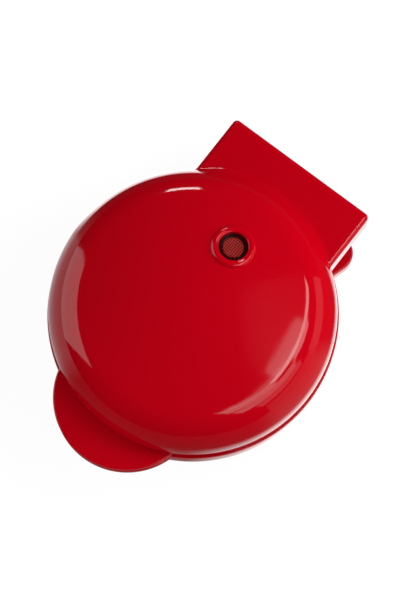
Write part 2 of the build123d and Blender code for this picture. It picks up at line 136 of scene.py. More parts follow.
tree.links.new(aside_and_back.outputs["Y"], bearing.inputs[0])
tree.links.new(aside_and_back.outputs["X"], bearing.inputs[1])
tree.links.new(bearing.outputs["Value"], round_table.inputs["Value"])


def glow_around(*stops):
    """Brightness of the paper in the gloss, as it changes with the bearing in degrees."""
    brightness = add_node(tree, "ShaderNodeFloatCurve")
    curve = brightness.mapping.curves[0]
    ends = (0, stops[0][1]), (1, stops[0][1])
    for point, end in zip(curve.points, ends):
        point.location = end
    for azimuth, level in stops:
        curve.points.new((azimuth + 180) / 360, level)
    for point in curve.points:
        point.handle_type = "VECTOR"
    brightness.mapping.update()
    tree.links.new(round_table.outputs["Result"], brightness.inputs["Value"])
    return brightness


far_glow = glow_around((-175, 0.65), (-130, 0.6), (-118, 0.08), (-20, 0.08), (-8, 0.35),
                       (22, 0.35), (32, 0.03), (165, 0.03), (178, 0.2))
near_glow = glow_around((-175, 0.1), (-150, 0.0), (-55, 0.05), (-40, 0.3), (-15, 0.55), (50, 0.6),
                        (66, 0.4), (80, 0.02), (115, 0.02), (125, 1.0), (165, 1.0), (178, 0.2))
near_reach = glow_around((-175, 0.145), (-70, 0.1), (50, 0.1), (70, 0.145), (178, 0.145))
away = add_node(tree, "ShaderNodeVectorMath", operation="LENGTH")
beyond = add_node(tree, "ShaderNodeMath", operation="SUBTRACT")
near = add_node(tree, "ShaderNodeMapRange", From_Min=-0.01, From_Max=0.01, To_Min=3.0, To_Max=0.0)
near_part = add_node(tree, "ShaderNodeMath", operation="MULTIPLY")
glow = add_node(tree, "ShaderNodeMath", operation="ADD")
paper_glow = add_node(tree, "ShaderNodeEmission", Color=(1, 1, 1, 1))
gloss_shade = add_node(tree, "ShaderNodeMixShader")
tree.links.new(place.outputs["Object"], away.inputs[0])
tree.links.new(away.outputs["Value"], beyond.inputs[0])
tree.links.new(near_reach.outputs["Value"], beyond.inputs[1])
tree.links.new(beyond.outputs["Value"], near.inputs["Value"])
tree.links.new(near.outputs["Result"], near_part.inputs[0])
tree.links.new(near_glow.outputs["Value"], near_part.inputs[1])
tree.links.new(near_part.outputs["Value"], glow.inputs[0])
tree.links.new(far_glow.outputs["Value"], glow.inputs[1])
tree.links.new(glow.outputs["Value"], paper_glow.inputs["Strength"])
tree.links.new(ray.outputs["Is Glossy Ray"], gloss_shade.inputs["Fac"])
tree.links.new(paper_shader.outputs["BSDF"], gloss_shade.inputs[1])
tree.links.new(paper_glow.outputs["Emission"], gloss_shade.inputs[2])
tree.links.new(gloss_shade.outputs["Shader"], choose.inputs[1])
tree.links.new(seen.outputs["Shader"], choose.inputs[2])
tree.links.new(choose.outputs["Shader"], tree.nodes["Material Output"].inputs["Surface"])
table = finished("table", shape, paper)

world = bpy.data.worlds.new("studio")
bpy.context.scene.world = world
world.use_nodes = True
room = world.node_tree
ray = add_node(room, "ShaderNodeLightPath")
spread_light = room.nodes["Background"]
spread_light.inputs["Strength"].default_value = 0.5
in_gloss = add_node(room, "ShaderNodeBackground", Strength=0.0)
shown = add_node(room, "ShaderNodeBackground", Strength=1.0)
gloss_or_not = add_node(room, "ShaderNodeMixShader")
choose = add_node(room, "ShaderNodeMixShader")
for background in (spread_light, in_gloss, shown):
    background.inputs["Color"].default_value = (1, 1, 1, 1)
room.links.new(ray.outputs["Is Glossy Ray"], gloss_or_not.inputs["Fac"])
room.links.new(spread_light.outputs["Background"], gloss_or_not.inputs[1])
room.links.new(in_gloss.outputs["Background"], gloss_or_not.inputs[2])
room.links.new(ray.outputs["Is Camera Ray"], choose.inputs["Fac"])
room.links.new(gloss_or_not.outputs["Shader"], choose.inputs[1])
room.links.new(shown.outputs["Background"], choose.inputs[2])
room.links.new(choose.outputs["Shader"], room.nodes["World Output"].inputs["Surface"])


def hung_lamp(name, data, aim, outward, distance, roll=0):
    """Lamp at a distance from the point that it faces, rolled in its own plane."""
    lamp = bpy.data.objects.new(name, data)
    facing = outward.to_track_quat("Z", "Y").to_matrix().to_4x4()
    rolled = Matrix.Rotation(radians(roll), 4, "Z")
    lamp.matrix_world = Matrix.Translation(aim + outward * distance) @ facing @ rolled
    bpy.context.scene.collection.objects.link(lamp)
    return lamp


box_aim = Vector((0, 0, 0.05))


def soft_box(name, azimuth, elevation, distance, width, height, radiance, roll=0):
    """Rectangular lamp that faces the object, of a given brightness."""
    data = bpy.data.lights.new(name, "AREA")
    data.shape = "RECTANGLE"
    data.size = width
    data.size_y = height
    data.energy = radiance * pi * width * height
    turn = radians(azimuth)
    rise = radians(elevation)
    outward = Vector((cos(rise) * cos(turn), cos(rise) * sin(turn), sin(rise)))
    lamp = hung_lamp(name, data, box_aim, outward, distance, roll)
    lamp.visible_camera = False
    return lamp


# Each box has its azimuth, elevation, distance, width, height, brightness and roll.
soft_box("key_light", 45, 60, 0.25, 0.12, 0.12, 6.8).visible_glossy = False
soft_box("side_light", 40, 13, 1.6, 0.9, 0.5, 12.0).visible_glossy = False
for name, *box in (("high_box", 43, 59, 1.2, 0.72, 0.15, 4.6, -30),
                   ("high_edge", 35, 52, 1.2, 0.3, 0.18, 3.0, -20),
                   ("inner_window", 36, 66, 1.2, 0.34, 0.13, 1.7, -28),
                   ("upper_box", 8, 67, 1.2, 0.62, 0.14, 1.3, -12),
                   ("inner_fan", -13, 60, 1.2, 0.46, 0.26, 2.2),
                   ("front_fan", -3, 47, 1.3, 0.75, 0.3, 1.6),
                   ("low_fan", 3, 33, 1.3, 0.66, 0.32, 0.7),
                   ("far_wall", 8, 4, 1.6, 1.1, 1.0, 0.3),
                   ("rear_lamp", 132, 38, 1.2, 0.2, 0.15, 14.0),
                   ("left_wall", 204, 19, 1.5, 1.2, 2.0, 1.6, -8),
                   ("right_screen", 44, 13, 1.5, 0.9, 0.7, 0.45)):
    soft_box(name, *box).visible_diffuse = False

tab_lamp_aim = Vector((0.004, -0.07, 0.042))
tab_lamp_distance = 0.5
tab_lamp_rise = radians(52)
tab_lamp_aside = 0.2
tab_lamp_data = bpy.data.lights.new("tab_lamp", "SPOT")
tab_lamp_data.spot_size = radians(12)
tab_lamp_data.spot_blend = 1.0
tab_lamp_data.shadow_soft_size = 0.04
tab_lamp_data.energy = 3.6
to_tab_lamp = Vector((tab_lamp_aside * cos(tab_lamp_rise), -cos(tab_lamp_rise),
                      sin(tab_lamp_rise))).normalized()
tab_lamp = hung_lamp("tab_lamp", tab_lamp_data, tab_lamp_aim, to_tab_lamp, tab_lamp_distance)
tab_lamp.visible_glossy = False


# The lid is one glossy red injection moulding: a crowned dome over the upper
# plate, a box behind it for the hinge and the leads, and a handle tab in front.
lid_radius = 62.6
skirt_height = 5.0
low_shoulder_radius = 22.9
high_shoulder_radius = 15.9
shoulder_split = radians(45.0)
crown_edge_angle = radians(90 - 12.1)
wall = 2.3

low_shoulder = (lid_radius - low_shoulder_radius, lid_bottom + skirt_height)
shoulder_step = low_shoulder_radius - high_shoulder_radius
high_shoulder = (low_shoulder[0] + shoulder_step * cos(shoulder_split),
                 low_shoulder[1] + shoulder_step * sin(shoulder_split))
crown_radius = high_shoulder[0] / cos(crown_edge_angle) + high_shoulder_radius
crown_centre = high_shoulder[1] - (crown_radius - high_shoulder_radius) * sin(crown_edge_angle)

block_half_width = 36.5
block_back = 78.5
block_front = 24.0
block_top = lid_bottom + 14.0
block_corner = 2.2
block_edge = 2.0
block_blend = 3.0
side_blend = 1.0
blend_inset, blend_run = 2.0, 8.0
blend_depth, blend_rise = 6.0, 4.0


def above_dome(x, y, z):
    """Distance of points from the dome's outside, negative within it."""
    r = np.hypot(x, y)
    crown = np.hypot(r, z - crown_centre) - crown_radius
    high = np.hypot(r - high_shoulder[0], z - high_shoulder[1]) - high_shoulder_radius
    low = np.hypot(r - low_shoulder[0], z - low_shoulder[1]) - low_shoulder_radius
    on_crown = np.arctan2(z - crown_centre, r) >= crown_edge_angle
    on_high = np.arctan2(z - high_shoulder[1], r - high_shoulder[0]) >= shoulder_split
    on_low = z >= low_shoulder[1]
    shoulder = np.where(on_high, high, np.where(on_low, low, r - lid_radius))
    return np.where(on_crown, crown, shoulder)


def above_block(x, y, z):
    """Distance of points from the hinge box with its rounded corners and edges."""
    half = (block_back - block_front) / 2
    across = np.abs(x) - block_half_width + block_corner
    along = np.abs(y - block_front - half) - half + block_corner
    side = (np.minimum(np.maximum(across, along), 0)
            + np.hypot(np.maximum(across, 0), np.maximum(along, 0)) - block_corner)
    out = side + block_edge
    up = z - block_top + block_edge
    return (np.minimum(np.maximum(out, up), 0)
            + np.hypot(np.maximum(out, 0), np.maximum(up, 0)) - block_edge)


def above_lid(x, y, z):
    """Dome and hinge box as one skin, with the moulding's blend between them."""
    dome = above_dome(x, y, z)
    box = above_block(x, y, z)
    inward = np.clip((block_half_width - blend_inset - np.abs(x)) / blend_run, 0, 1)
    upward = np.clip((z - block_top + blend_depth) / blend_rise, 0, 1)
    blend = side_blend + (block_blend - side_blend) * inward * upward
    return (np.maximum(blend, np.minimum(dome, box))
            - np.hypot(np.maximum(blend - dome, 0), np.maximum(blend - box, 0)))


def spread(*runs):
    """Joins runs of (end, step) from the first end on, all in degrees."""
    values = [runs[0][0]]
    for end, step in runs[1:]:
        count = round(abs(end - values[-1]) / step)
        values += [values[-1] + (end - values[-1]) * (i + 1) / count for i in range(count)]
    return [radians(value) for value in values]


far_out = 100.0
walk_steps = 90


def shell_on(turns, rises, level, distance):
    """A bent grid with its seam and pole closed, each point walked in to a skin."""
    grid = bmesh.new()
    bmesh.ops.create_grid(grid, x_segments=len(turns) - 1, y_segments=len(rises) - 1, size=1)
    places = np.array([v.co for v in grid.verts])
    turn = np.array(turns)[np.rint((places[:, 0] + 1) / 2 * (len(turns) - 1)).astype(int)]
    rise = np.array(rises)[np.rint((places[:, 1] + 1) / 2 * (len(rises) - 1)).astype(int)]
    ray = np.stack([np.cos(rise) * np.cos(turn), np.cos(rise) * np.sin(turn), np.sin(rise)])
    reach = np.full(len(turn), far_out)
    for _ in range(walk_steps):
        reach -= distance(*(ray[:2] * reach), ray[2] * reach + level)
    for vertex, x, y, z in zip(grid.verts, *(ray * reach)):
        vertex.co = (x, y, z + level)
    bmesh.ops.remove_doubles(grid, verts=grid.verts, dist=1e-3)
    return grid


# The grid is finest where the dome runs into the hinge box.
turns = spread((52, 0), (63.5, 0.45), (67.5, 0.2), (112.5, 0.45), (116.5, 0.2), (128, 0.45),
               (412, 2))
rises = spread((0, 0), (8.4, 0.7), (17.6, 0.16), (30, 0.6), (90, 1.5))
lid = shell_on(turns, rises, lid_bottom, above_lid)

lamp_back = 28.9
collar_seat = 8.7
crown_level = lid_bottom + 20
lamp_height = crown_centre + sqrt(crown_radius ** 2 - lamp_back ** 2)
lamp_slope = asin(lamp_back / crown_radius)
lamp_place = (Matrix.Translation((0, lamp_back, lamp_height))
              @ Matrix.Rotation(-lamp_slope, 4, "X"))
to_lamp = lamp_place.inverted()
hole = [f for f in lid.faces if (to_lamp @ f.calc_center_median()).xy.length < collar_seat
        and f.calc_center_median().z > crown_level]
bmesh.ops.delete(lid, geom=hole, context="FACES")


def copied(node):
    """A CAD node's shape in millimetres, with its loose triangles joined."""
    shape = bmesh.new()
    shape.from_mesh(nodes[node].data)
    bmesh.ops.scale(shape, vec=(1 / mm, 1 / mm, 1 / mm), verts=shape.verts)
    bmesh.ops.remove_doubles(shape, verts=shape.verts, dist=1e-3)
    return shape


# Inside, the moulding keeps its wall, lugs, ledge and screw bosses. The faces of its
# old skin and tab go, and so does what lies just below that skin.
kept_depth = wall - 0.8
edge_gap = 0.05
tab_gap = 0.5
inside = copied("lid_housing")
outer = []
for face in inside.faces:
    centre = face.calc_center_median()
    gap = float(above_lid(*(np.array([c]) for c in centre))[0])
    if (gap > -kept_depth and centre.z > lid_bottom + edge_gap) or gap > tab_gap:
        outer.append(face)
bmesh.ops.delete(inside, geom=outer, context="FACES")


tab_radius = 32.0
tab_centre = -46.5
tab_steps = 64


def crescent(low, thickness, within, edge):
    """Handle tab: the part of a disc outside the wall, with its rim edges rounded."""
    meet = acos((tab_radius ** 2 + tab_centre ** 2 - within ** 2)
                / (2 * tab_radius * -tab_centre))
    inner = acos((within ** 2 + tab_centre ** 2 - tab_radius ** 2) / (2 * within * -tab_centre))
    tab = bmesh.new()
    start = tab.verts.new((tab_radius * sin(meet), tab_centre + tab_radius * cos(meet), low))
    outline = [start]
    for i in range(1, tab_steps + 1):
        angle = pi / 2 - meet - (2 * pi - 2 * meet) * i / tab_steps
        outline.append(tab.verts.new((tab_radius * cos(angle),
                                      tab_centre + tab_radius * sin(angle), low)))
    for i in range(1, tab_steps):
        angle = -pi / 2 - inner + 2 * inner * i / tab_steps
        outline.append(tab.verts.new((within * cos(angle), within * sin(angle), low)))
    floor = tab.faces.new(outline)
    floor.normal_update()
    top = bmesh.ops.extrude_face_region(tab, geom=[floor])
    raised = [v for v in top["geom"] if isinstance(v, bmesh.types.BMVert)]
    bmesh.ops.translate(tab, vec=(0, 0, thickness), verts=raised)
    bmesh.ops.recalc_face_normals(tab, faces=tab.faces)
    rim = [e for e in tab.edges if abs(e.verts[0].co.z - e.verts[1].co.z) < 1e-6
           and all(abs(hypot(v.co.x, v.co.y - tab_centre) - tab_radius) < 1e-3 for v in e.verts)]
    bmesh.ops.bevel(tab, geom=rim, offset=edge, segments=4, affect="EDGES", profile=0.5,
                    material=-1)
    return tab


lid_tab_thickness = 2.4
tab_edge = 0.7
tab = crescent(lid_bottom, lid_tab_thickness, lid_radius - wall, tab_edge)


# The skin, the tab and the inside are one moulding in one glossy red. Its surface
# has a very faint waviness and a slightly uneven polish.
def glossy_plastic(name, colour, roughness, wave):
    """Moulded plastic with a faint waviness and uneven polish."""
    material, shader, tree = new_material(name)
    shader.inputs["Base Color"].default_value = colour
    shader.inputs["IOR"].default_value = 1.49
    place = add_node(tree, "ShaderNodeTexCoord")
    cloud = add_node(tree, "ShaderNodeTexNoise", Scale=38.0, Detail=3.0, Roughness=0.55)
    polish = add_node(tree, "ShaderNodeMapRange", To_Min=roughness * 0.8, To_Max=roughness * 1.5)
    ripple = add_node(tree, "ShaderNodeTexNoise", Scale=260.0, Detail=1.0)
    bump = add_node(tree, "ShaderNodeBump", Strength=wave, Distance=0.0002)
    for noise in (cloud, ripple):
        tree.links.new(place.outputs["Object"], noise.inputs["Vector"])
    tree.links.new(cloud.outputs["Fac"], polish.inputs["Value"])
    tree.links.new(polish.outputs["Result"], shader.inputs["Roughness"])
    tree.links.new(ripple.outputs["Fac"], bump.inputs["Height"])
    tree.links.new(bump.outputs["Normal"], shader.inputs["Normal"])
    return material


red = glossy_plastic("glossy_red", (0.44, 0.0, 0.006, 1), 0.06, 0.04)
for name, shape in (("lid_skin", lid), ("lid_tab", tab), ("lid_inside", inside)):
    part = finished(name, shape, red)
    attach(part, "lid")
    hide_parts("lid_housing")


# A raised collar moulded around the lamp hole carries a black holder. A round red
# lens with a diamond grid on its face snaps into the holder over a neon bulb.
def ring_about(matrix, outline, count=96, closed=True):
    """Ring spun from an outline of radius and height pairs, then moved to its axis."""
    ring = bmesh.new()
    line = [ring.verts.new((radius, 0, height)) for radius, height in outline]
    hollow = outline[0][0] > 0 and outline[-1][0] > 0
    loop = line + line[:1] if closed and hollow else line
    edges = [ring.edges.new(pair) for pair in zip(loop, loop[1:])]
    bmesh.ops.spin(ring, geom=line + edges, axis=(0, 0, 1), cent=(0, 0, 0), angle=2 * pi,
                   steps=count, use_merge=True)
    bmesh.ops.remove_doubles(ring, verts=ring.verts, dist=1e-4)
    bmesh.ops.recalc_face_normals(ring, faces=ring.faces)
    ring.transform(matrix)
    return ring


def arc(centre, radius, start, end, count):
    """Points of an arc in an outline, in degrees from outwards to upwards."""
    return [(centre[0] + radius * cos(radians(start + (end - start) * i / count)),
             centre[1] + radius * sin(radians(start + (end - start) * i / count)))
            for i in range(count + 1)]


def dressed(name, shape, finish, body, slot, *replaced, sharp=35.0):
    """Finishes a piece, lets it ride on a body, and puts it in place of CAD nodes."""
    part = finished(name, shape, finish, sharp)
    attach(part, body)
    if replaced:
        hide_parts(*replaced)
    return part


hole_radius = 6.4
collar_foot = -4.4
collar_waist, collar_reach, collar_under = 8.4, 9.6, -1.2
collar_crown, crown_round = (8.0, -0.75), 1.8
collar_lip, lip_round = (6.95, 0.35), 0.55
collar_outline = (arc(collar_crown, crown_round, 12, 112, 14)
                  + arc(collar_lip, lip_round, 75, 180, 7)
                  + [(hole_radius, collar_foot), (collar_waist, collar_foot),
                     (collar_waist, collar_under), (collar_reach, collar_under)])
dressed("lamp_collar", ring_about(lamp_place, collar_outline), red, "lid", "red_plastic",
        "lid_housing")

holder_radius = hole_radius - 0.1
holder_top, holder_bottom, holder_flange = -1.5, -5.6, 8.0
bore_edge, holder_edge = 0.25, 0.35
bulb_hole = 2.3
lens_radius = 4.6
lens_seat = -4.5
bore_radius = lens_radius + 0.1
holder_outline = ([(bulb_hole, holder_bottom), (bulb_hole, lens_seat), (bore_radius, lens_seat),
                   (bore_radius, holder_top - bore_edge)]
                  + arc((bore_radius + bore_edge, holder_top - bore_edge), bore_edge, 180, 90, 4)
                  + arc((holder_radius - holder_edge, holder_top - holder_edge), holder_edge,
                        90, 0, 4)
                  + [(holder_radius, collar_foot), (holder_flange, collar_foot),
                     (holder_flange, holder_bottom)])
# The holder is black plastic. The faint red in its colour is painted reflection, standing for red
# light thrown onto it by the red collar and lens around it.
black_gloss_painted_red = glossy_plastic("black_gloss_painted_red", (0.02, 0.004, 0.004, 1), 0.14, 0.03)
dressed("holder", ring_about(lamp_place, holder_outline), black_gloss_painted_red, "lid", "black_plastic",
        "lamp_holder")

grid_pitch = 1.05
grid_radius = 4.05
pyramid_rise = 0.16
lens_face = -1.1
lens_edge, lens_top = 0.45, -0.9
recess = 0.1
cells = 10
cuts = 48
pyramids = bmesh.new()
bmesh.ops.create_grid(pyramids, x_segments=cells, y_segments=cells, size=cells * grid_pitch / 2)
for face in list(pyramids.faces):
    poked = bmesh.ops.poke(pyramids, faces=[face])
    bmesh.ops.translate(pyramids, vec=(0, 0, pyramid_rise), verts=poked["verts"])
bmesh.ops.translate(pyramids, vec=(0, 0, lens_face), verts=pyramids.verts)
for i in range(cuts):
    turn = 2 * pi * i / cuts
    outwards = Vector((cos(turn), sin(turn), 0))
    bmesh.ops.bisect_plane(pyramids, geom=[*pyramids.verts, *pyramids.edges, *pyramids.faces],
                           plane_co=outwards * grid_radius, plane_no=outwards, clear_outer=True)
pyramids.transform(lamp_place)
lens_outline = ([(0, lens_seat), (lens_radius, lens_seat)]
                + arc((lens_radius - lens_edge, lens_top - lens_edge), lens_edge, 0, 90, 5)
                + [(grid_radius - recess / 2, lens_top - recess / 2),
                   (grid_radius - recess, lens_face - recess), (0, lens_face - recess)])
lens_red, shader, tree = new_material("lens_red")
shader.inputs["IOR"].default_value = 1.49
shader.inputs["Specular IOR Level"].default_value = 0.1
place = add_node(tree, "ShaderNodeTexCoord")
on_lens = add_node(tree, "ShaderNodeMapping", Location=to_lamp.translation * mm,
                   Rotation=(lamp_slope, 0, 0))
across_and_along = add_node(tree, "ShaderNodeSeparateXYZ")
tree.links.new(place.outputs["Object"], on_lens.inputs["Vector"])
tree.links.new(on_lens.outputs["Vector"], across_and_along.inputs["Vector"])
valley = add_node(tree, "ShaderNodeMath", operation="MINIMUM")
for i, axis in enumerate("XY"):
    to_valley = add_node(tree, "ShaderNodeMath", operation="PINGPONG")
    to_valley.inputs[1].default_value = grid_pitch / 2 * mm
    tree.links.new(across_and_along.outputs[axis], to_valley.inputs[0])
    tree.links.new(to_valley.outputs["Value"], valley.inputs[i])
thin = add_node(tree, "ShaderNodeMapRange", From_Min=0.05 * mm, From_Max=0.2 * mm,
                To_Min=1.0, To_Max=0.0)
tint = add_node(tree, "ShaderNodeMix", data_type="RGBA")
tint.inputs["A"].default_value = (0.09, 0.0, 0.0, 1)
tint.inputs["B"].default_value = (0.4, 0.025, 0.018, 1)
polish = add_node(tree, "ShaderNodeMapRange", To_Min=0.1, To_Max=0.25)
tree.links.new(valley.outputs["Value"], thin.inputs["Value"])
tree.links.new(thin.outputs["Result"], tint.inputs["Factor"])
tree.links.new(tint.outputs["Result"], shader.inputs["Base Color"])
tree.links.new(thin.outputs["Result"], polish.inputs["Value"])
tree.links.new(polish.outputs["Result"], shader.inputs["Roughness"])
dressed("lens_grid", pyramids, lens_red, "lid", "lens", "indicator_lens", sharp=4.0)
dressed("lens_body", ring_about(lamp_place, lens_outline), lens_red, "lid", "lens",
        "indicator_lens")


# The base is a second red moulding: a deep bowl with an upright rim band, a low
# stand under the hinge, a raised pad for the mains inlet and a handle tab in front.
foot_height = 4.2
rim_radius = 63.5
band_height = 7.6
bowl_high_radius = 32.0
bowl_low_radius = 18.4
bowl_split = 40.0
band_bottom = (foot_height + bowl_high_radius * sin(radians(bowl_split))
               + bowl_low_radius * (1 - sin(radians(bowl_split))))
rim_top = band_bottom + band_height
bowl_high = (rim_radius - bowl_high_radius, band_bottom)
smooth_from = 16.0
smooth_angle = asin((band_bottom - smooth_from) / bowl_high_radius)
bowl_steps, bowl_sides = 40, 240
rim_edge = 0.5
pad_half_width, pad_half_height, inlet_height = 9.2, 7.4, 21.0
pad_overlap = 1.6

bowl_outline = ([(bowl_high[0] + bowl_high_radius * cos(smooth_angle * (1 - i / bowl_steps)),
                  bowl_high[1] - bowl_high_radius * sin(smooth_angle * (1 - i / bowl_steps)))
                 for i in range(bowl_steps + 1)]
                + arc((rim_radius - rim_edge, rim_top - rim_edge), rim_edge, 0, 90, 4)
                + [(rim_radius - wall, rim_top)])
bowl = ring_about(Matrix.Identity(4), bowl_outline, bowl_sides, closed=False)
if bowl.faces[0].normal.dot(Vector(bowl.faces[0].calc_center_median()[:2] + (0,))) < 0:
    bmesh.ops.reverse_faces(bowl, faces=bowl.faces)
behind_pad = [f for f in bowl.faces if f.calc_center_median().y > 0
              and abs(f.calc_center_median().x) < pad_half_width - pad_overlap
              and abs(f.calc_center_median().z - inlet_height) < pad_half_height - pad_overlap]
bmesh.ops.delete(bowl, geom=behind_pad, context="FACES")

base_tab_drop, base_tab_thickness = 2.4, 4.0
base_tab_low = rim_top - base_tab_drop - base_tab_thickness
base_tab = crescent(base_tab_low, base_tab_thickness, rim_radius - wall, tab_edge)

# The rest of the moulding keeps its shape. It loses the faces that the new skin and
# the new tab take the place of.
skin_gap = 0.08
level_gap = 0.01
face_gap = 0.1
tab_front = -20.0
below = copied("base_housing")
bmesh.ops.bisect_plane(below, geom=[*below.verts, *below.edges, *below.faces],
                       plane_co=(0, 0, smooth_from), plane_no=(0, 0, 1))
remade = []
for face in below.faces:
    centre = face.calc_center_median()
    radius = hypot(centre.x, centre.y)
    skin_radius = rim_radius
    if centre.z < band_bottom:
        skin_radius = bowl_high[0] + sqrt(bowl_high_radius ** 2 - (band_bottom - centre.z) ** 2)
    on_skin = abs(radius - skin_radius) < skin_gap
    on_tab = centre.y < tab_front and radius > rim_radius + face_gap
    on_rim = centre.z > rim_top - level_gap and radius > rim_radius - wall
    if on_rim or (centre.z > smooth_from and (on_skin or on_tab)):
        remade.append(face)
bmesh.ops.delete(below, geom=remade, context="FACES")

# The stand under the hinge widens towards the back. Its skin is cut off where it
# runs into the bowl, and takes the place of the copied one.
stand_height = 7.4
stand_top = foot_height + stand_height
stand_back, stand_front = 73.7, 36.0
stand_front_half_width, stand_back_half_width = 29.4, 40.9
stand_corner, stand_edge = 8.7, 0.8
flare = atan2(stand_back_half_width - stand_front_half_width, stand_back - stand_front)
side_distance = stand_front_half_width * cos(flare) - stand_front * sin(flare)


def corner_centre(y):
    """Middle of a rounded corner that touches the slanting side, at a given depth."""
    return (side_distance - stand_corner + y * sin(flare)) / cos(flare), y


def outside_bowl(point):
    """Distance of a point from the bowl's skin below its rim band."""
    radius = hypot(point.x, point.y)
    if atan2(band_bottom - point.z, radius - bowl_high[0]) < radians(bowl_split):
        return hypot(radius - bowl_high[0], point.z - bowl_high[1]) - bowl_high_radius
    return hypot(max(radius - bowl_low[0], 0), point.z - bowl_low[1]) - bowl_low_radius


bowl_step = bowl_high_radius - bowl_low_radius
bowl_low = (bowl_high[0] + bowl_step * cos(radians(bowl_split)),
            bowl_high[1] - bowl_step * sin(radians(bowl_split)))
front_right = corner_centre(stand_front + stand_corner)
back_right = corner_centre(stand_back - stand_corner)
slant = -flare * 180 / pi
right_half = (arc(front_right, stand_corner, -90, slant, 10)
              + arc(back_right, stand_corner, slant, 90, 20))
around = right_half + [(-x, y) for x, y in reversed(right_half)]
stand = bmesh.new()
sole = stand.faces.new([stand.verts.new((x, y, foot_height)) for x, y in around])
risen = bmesh.ops.extrude_face_region(stand, geom=[sole])
bmesh.ops.translate(stand, vec=(0, 0, stand_top - foot_height),
                    verts=[v for v in risen["geom"] if isinstance(v, bmesh.types.BMVert)])
bmesh.ops.recalc_face_normals(stand, faces=stand.faces)
top_edges = [e for e in stand.edges if all(v.co.z > stand_top - level_gap for v in e.verts)]
bmesh.ops.bevel(stand, geom=top_edges, offset=stand_edge, segments=5, affect="EDGES",
                profile=0.5, material=-1)
inner_fit = 0.05
plug_outline = ([(0, foot_height + inner_fit)]
                + arc(bowl_low, bowl_low_radius - inner_fit, -90, -bowl_split, 12)
                + arc(bowl_high, bowl_high_radius - inner_fit, -bowl_split, 0, 24)[1:]
                + [(0, band_bottom)])
plug = piece("plug", bpy.data.meshes.new("plug"))
plug_shape = ring_about(Matrix.Identity(4), plug_outline, bowl_sides)
plug_shape.to_mesh(plug.data)
plug_shape.free()
rough_stand = piece("rough_stand", bpy.data.meshes.new("rough_stand"))
stand.to_mesh(rough_stand.data)
cutting = rough_stand.modifiers.new("cutting", "BOOLEAN")
cutting.operation = "DIFFERENCE"
cutting.solver = "EXACT"
cutting.object = plug
bpy.context.view_layer.update()
stand.clear()
stand.from_mesh(rough_stand.evaluated_get(bpy.context.evaluated_depsgraph_get()).data)
bpy.data.objects.remove(rough_stand)
bpy.data.objects.remove(plug)
hidden = [f for f in stand.faces if outside_bowl(f.calc_center_median()) < 0
          or f.calc_center_median().z < foot_height + level_gap]
bmesh.ops.delete(stand, geom=hidden, context="FACES")


def within_stand(point):
    """Distance of a point inwards from the stand's upright side."""
    x, y = abs(point.x), point.y
    side = side_distance - x * cos(flare) + y * sin(flare)
    return min(side, stand_back - y, y - stand_front)


covered = []
for face in below.faces:
    centre = face.calc_center_median()
    beside = foot_height + face_gap < centre.z < stand_top + edge_gap
    on_top = centre.z > stand_top - edge_gap
    on_side = within_stand(centre) < wall - face_gap
    if beside and outside_bowl(centre) > skin_gap and (on_top or on_side):
        covered.append(face)
bmesh.ops.delete(below, geom=covered, context="FACES")

for name, shape, sharp in (("base_skin", bowl, 35), ("base_tab", base_tab, 35),
                           ("base_stand", stand, 35), ("base_below", below, 18)):
    dressed(name, shape, red, "base", "red_plastic", "base_housing", sharp=sharp)


# The two inner frames are red mouldings too. They carry the plates on a ledge, and
# the frame of the base also carries the two hinge ears.
def coated(material, *names):
    """Gives CAD nodes that keep their shape a finish of their own."""
    for name in names:
        for slot in nodes[name].material_slots:
            slot.material = material


def uneven(name, colour, other, metallic, smooth, rough, grain=(90.0, 90.0, 90.0), relief=0.1):
    """Finish that varies a little in colour, roughness and height over a grain."""
    material, shader, tree = new_material(name)
    shader.inputs["Metallic"].default_value = metallic
    place = add_node(tree, "ShaderNodeTexCoord")
    stretch = add_node(tree, "ShaderNodeMapping", Scale=grain)
    patches = add_node(tree, "ShaderNodeTexNoise", Scale=1.0, Detail=4.0)
    fine = add_node(tree, "ShaderNodeTexNoise", Scale=14.0, Detail=2.0)
    tint = add_node(tree, "ShaderNodeMix", data_type="RGBA")
    tint.inputs["A"].default_value = (*colour, 1)
    tint.inputs["B"].default_value = (*other, 1)
    sheen = add_node(tree, "ShaderNodeMapRange", To_Min=smooth, To_Max=rough)
    bump = add_node(tree, "ShaderNodeBump", Strength=relief, Distance=0.0002)
    tree.links.new(place.outputs["Object"], stretch.inputs["Vector"])
    tree.links.new(stretch.outputs["Vector"], patches.inputs["Vector"])
    tree.links.new(stretch.outputs["Vector"], fine.inputs["Vector"])
    tree.links.new(patches.outputs["Fac"], tint.inputs["Factor"])
    tree.links.new(tint.outputs["Result"], shader.inputs["Base Color"])
    tree.links.new(patches.outputs["Fac"], sheen.inputs["Value"])
    tree.links.new(sheen.outputs["Result"], shader.inputs["Roughness"])
    tree.links.new(fine.outputs["Fac"], bump.inputs["Height"])
    tree.links.new(bump.outputs["Normal"], shader.inputs["Normal"])
    return material


satin_red = glossy_plastic("satin_red", (0.42, 0.0, 0.006, 1), 0.16, 0.08)
coated(satin_red, "base_frame", "lid_frame")


# Each waffle plate is one aluminium casting with a dark non-stick coat. Its floor
# has a grid of tapered square studs, which the coat leaves soft at every edge.
seam = rim_top + 0.3
floor_radius, floor_lap = 46.0, 0.02
stud_field = 44.8
stud_pitch = 14.0
stud_base, stud_tip, stud_height = 9.4, 6.6, 5.5
stud_flare, stud_round, stud_sunk, stud_corner = 0.5, 0.5, 0.2, 0.7
least_stud = 2.0
cut_step = radians(4)
plate_floor = seam - 8.0

